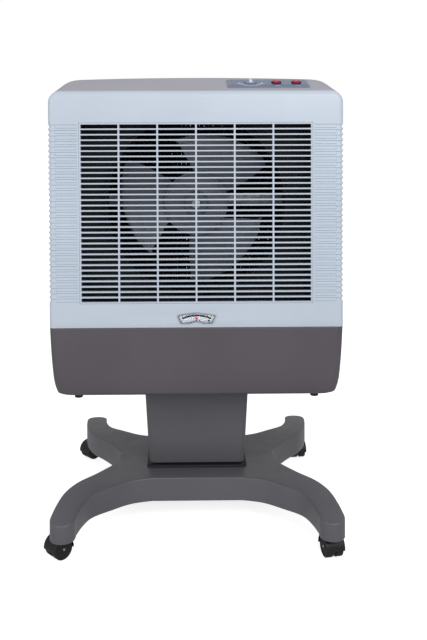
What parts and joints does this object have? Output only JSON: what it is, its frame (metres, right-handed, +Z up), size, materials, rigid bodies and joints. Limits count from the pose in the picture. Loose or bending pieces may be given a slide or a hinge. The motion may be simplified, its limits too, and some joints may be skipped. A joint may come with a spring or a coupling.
{
  "type": "evaporative cooler",
  "caption": "Free-standing evaporative air cooler: louvred fan outlet, water tank below, slanted control face, pedestal column on a wheeled four-legged base.",
  "frame": {"origin": "on the floor under the centre of the base", "axes": "+Z up, the air outlet faces -Y, +X to the right seen from the front"},
  "size_m": [0.702, 0.6872, 1.105],
  "materials": {
    "pale_blue_plastic": "satin moulded plastic",
    "pale_grey_plastic": "satin moulded plastic",
    "tank_grey_plastic": "satin moulded plastic",
    "stand_grey_plastic": "satin moulded plastic",
    "black_plastic": "moulded black plastic",
    "dark_grey_plastic": "dark moulded plastic",
    "blade_grey_plastic": "smooth moulded plastic",
    "pad_cellulose": "corrugated treated paper",
    "control_film": "printed film",
    "switch_red_plastic": "glossy moulded plastic",
    "white_plastic": "glossy moulded plastic",
    "clear_plastic": "clear window",
    "steel": "zinc plated",
    "brass": "machined"
  },
  "bodies": {
    "frame": {"tank": "tank_grey_plastic", "tank_foot_front_left": "black_plastic", "tank_foot_front_right": "black_plastic", "tank_foot_rear_left": "black_plastic", "tank_foot_rear_right": "black_plastic", "front_panel": "pale_blue_plastic", "front_grille": "pale_blue_plastic", "top_cover": "pale_grey_plastic", "left_side_panel": "pale_grey_plastic", "right_side_panel": "pale_grey_plastic", "rear_frame": "pale_blue_plastic", "cord_gland": "black_plastic", "inlet_fitting": "brass", "water_distributor": "pale_grey_plastic", "water_pump": "black_plastic", "riser_pipe": "dark_grey_plastic", "fan_shroud": "dark_grey_plastic", "fan_motor": "steel", "motor_bracket": "steel", "gauge_bezel": "steel", "gauge_dial": "white_plastic", "gauge_window": "clear_plastic", "control_plate": "control_film", "power_switch_bezel": "black_plastic", "pump_switch_bezel": "black_plastic", "column": "stand_grey_plastic", "column_flange": "dark_grey_plastic", "base": "stand_grey_plastic"},
    "fan": {"fan_rotor": "blade_grey_plastic", "motor_shaft": "steel", "fan_nut": "steel"},
    "rear_unit": {"rear_intake_grille": "pale_blue_plastic", "pad_frame": "dark_grey_plastic", "cooling_pad": "pad_cellulose"},
    "level_indicator": {"gauge_pointer": "switch_red_plastic", "level_lever": "brass", "level_float": "white_plastic"},
    "inlet_valve_arm": {"inlet_arm": "brass", "inlet_float": "black_plastic"},
    "speed_knob": {"speed_knob": "white_plastic"},
    "power_rocker": {"power_switch_rocker": "switch_red_plastic"},
    "pump_rocker": {"pump_switch_rocker": "switch_red_plastic"},
    "drain_plug": {"drain_plug": "black_plastic"},
    "front_left_caster": {"front_left_caster_hood": "black_plastic", "front_left_caster_axle": "steel"},
    "front_left_wheel_inner": {"front_left_wheel_inner": "black_plastic"},
    "front_left_wheel_outer": {"front_left_wheel_outer": "black_plastic"},
    "front_right_caster": {"front_right_caster_hood": "black_plastic", "front_right_caster_axle": "steel"},
    "front_right_wheel_inner": {"front_right_wheel_inner": "black_plastic"},
    "front_right_wheel_outer": {"front_right_wheel_outer": "black_plastic"},
    "rear_left_caster": {"rear_left_caster_hood": "black_plastic", "rear_left_caster_axle": "steel"},
    "rear_left_wheel_inner": {"rear_left_wheel_inner": "black_plastic"},
    "rear_left_wheel_outer": {"rear_left_wheel_outer": "black_plastic"},
    "rear_right_caster": {"rear_right_caster_hood": "black_plastic", "rear_right_caster_axle": "steel"},
    "rear_right_wheel_inner": {"rear_right_wheel_inner": "black_plastic"},
    "rear_right_wheel_outer": {"rear_right_wheel_outer": "black_plastic"}
  },
  "joints": [
    {"name": "fan_spin", "type": "hinge", "parent": "frame", "child": "fan", "pos_m": [0, -0.095, 0.79], "axis": [0, -1, 0], "continuous": true},
    {"name": "rear_unit_pull", "type": "slide", "parent": "frame", "child": "rear_unit", "axis": [0, 1, 0], "range_m": [0, 0.12]},
    {"name": "level_swing", "type": "hinge", "parent": "frame", "child": "level_indicator", "pos_m": [0, -0.19, 0.523], "axis": [0, 1, 0], "range_deg": [0, 62]},
    {"name": "inlet_swing", "type": "hinge", "parent": "frame", "child": "inlet_valve_arm", "pos_m": [-0.254, 0.16, 0.508], "axis": [0, -1, 0], "range_deg": [0, 30]},
    {"name": "speed_turn", "type": "hinge", "parent": "frame", "child": "speed_knob", "pos_m": [0.135, -0.13326, 1.089], "axis": [0, -0.3271, 0.945], "range_deg": [0, 150]},
    {"name": "power_rock", "type": "hinge", "parent": "frame", "child": "power_rocker", "pos_m": [0.198, -0.13893, 1.08703], "axis": [1, 0, 0], "range_deg": [0, 12]},
    {"name": "pump_rock", "type": "hinge", "parent": "frame", "child": "pump_rocker", "pos_m": [0.247, -0.13893, 1.08703], "axis": [1, 0, 0], "range_deg": [0, 12]},
    {"name": "drain_pull", "type": "slide", "parent": "frame", "child": "drain_plug", "axis": [0, 1, 0], "range_m": [0, 0.035]},
    {"name": "front_left_swivel", "type": "hinge", "parent": "frame", "child": "front_left_caster", "pos_m": [-0.3, -0.28, 0.06], "axis": [0, 0, 1], "continuous": true},
    {"name": "front_left_inner_roll", "type": "hinge", "parent": "front_left_caster", "child": "front_left_wheel_inner", "pos_m": [-0.31556, -0.29556, 0.024], "axis": [0.7071, -0.7071, 0], "continuous": true},
    {"name": "front_left_outer_roll", "type": "hinge", "parent": "front_left_caster", "child": "front_left_wheel_outer", "pos_m": [-0.31556, -0.29556, 0.024], "axis": [0.7071, -0.7071, 0], "continuous": true},
    {"name": "front_right_swivel", "type": "hinge", "parent": "frame", "child": "front_right_caster", "pos_m": [0.3, -0.28, 0.06], "axis": [0, 0, 1], "continuous": true},
    {"name": "front_right_inner_roll", "type": "hinge", "parent": "front_right_caster", "child": "front_right_wheel_inner", "pos_m": [0.30457, -0.30152, 0.024], "axis": [0.9781, 0.2079, 0], "continuous": true},
    {"name": "front_right_outer_roll", "type": "hinge", "parent": "front_right_caster", "child": "front_right_wheel_outer", "pos_m": [0.30457, -0.30152, 0.024], "axis": [0.9781, 0.2079, 0], "continuous": true},
    {"name": "rear_left_swivel", "type": "hinge", "parent": "frame", "child": "rear_left_caster", "pos_m": [-0.3, 0.28, 0.06], "axis": [0, 0, 1], "continuous": true},
    {"name": "rear_left_inner_roll", "type": "hinge", "parent": "rear_left_caster", "child": "rear_left_wheel_inner", "pos_m": [-0.31556, 0.26444, 0.024], "axis": [0.7071, -0.7071, 0], "continuous": true},
    {"name": "rear_left_outer_roll", "type": "hinge", "parent": "rear_left_caster", "child": "rear_left_wheel_outer", "pos_m": [-0.31556, 0.26444, 0.024], "axis": [0.7071, -0.7071, 0], "continuous": true},
    {"name": "rear_right_swivel", "type": "hinge", "parent": "frame", "child": "rear_right_caster", "pos_m": [0.3, 0.28, 0.06], "axis": [0, 0, 1], "continuous": true},
    {"name": "rear_right_inner_roll", "type": "hinge", "parent": "rear_right_caster", "child": "rear_right_wheel_inner", "pos_m": [0.30306, 0.25821, 0.024], "axis": [0.9903, 0.1392, 0], "continuous": true},
    {"name": "rear_right_outer_roll", "type": "hinge", "parent": "rear_right_caster", "child": "rear_right_wheel_outer", "pos_m": [0.30306, 0.25821, 0.024], "axis": [0.9903, 0.1392, 0], "continuous": true}
  ]
}
